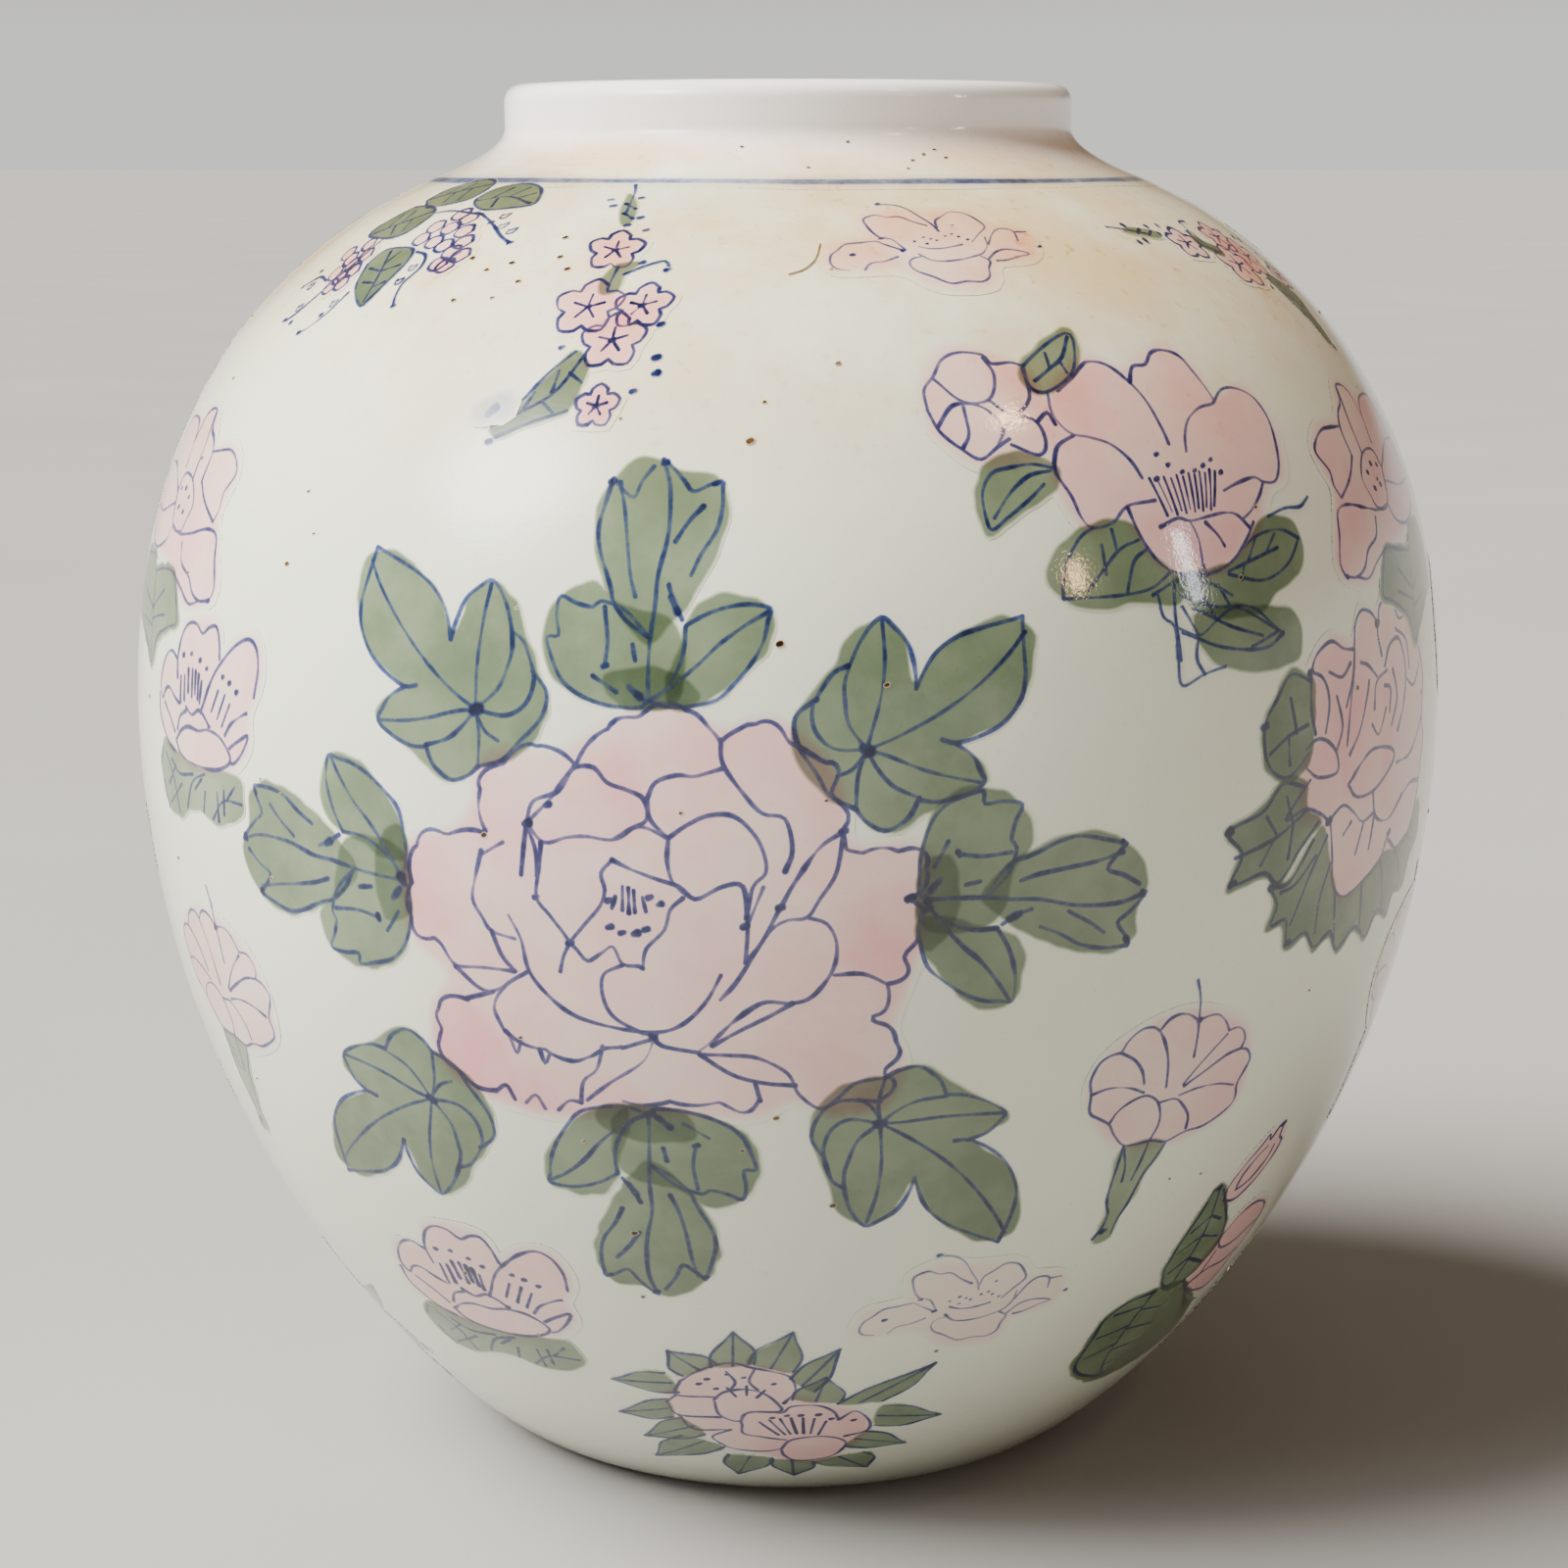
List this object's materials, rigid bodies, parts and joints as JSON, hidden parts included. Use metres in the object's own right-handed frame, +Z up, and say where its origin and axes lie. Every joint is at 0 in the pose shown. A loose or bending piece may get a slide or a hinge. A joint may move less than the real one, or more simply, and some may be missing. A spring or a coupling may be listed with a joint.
{
  "type": "ginger jar",
  "caption": "Open globular ginger jar in painted and glazed porcelain, hollow, with a short upright collar and a low foot ring.",
  "frame": {"origin": "middle of the foot ring's contact face, where the jar stands", "axes": "+Z up along the jar's axis of revolution; -Y is the side with the large peony"},
  "size_m": [0.2464, 0.2464, 0.254],
  "materials": {
    "bare_porcelain": "matte",
    "porcelain_clay": "matte",
    "luting_slip": "matte",
    "clear_glaze": "gloss"
  },
  "bodies": {
    "root": {"foot_ring": "bare_porcelain", "foot_slip_joint": "luting_slip", "base_slab": "porcelain_clay", "lower_body": "porcelain_clay", "belly_slip_joint": "luting_slip", "upper_body": "porcelain_clay", "collar_slip_joint": "luting_slip", "neck_collar": "porcelain_clay", "exterior_glaze": "clear_glaze", "interior_glaze": "clear_glaze", "base_glaze": "clear_glaze"}
  },
  "joints": []
}
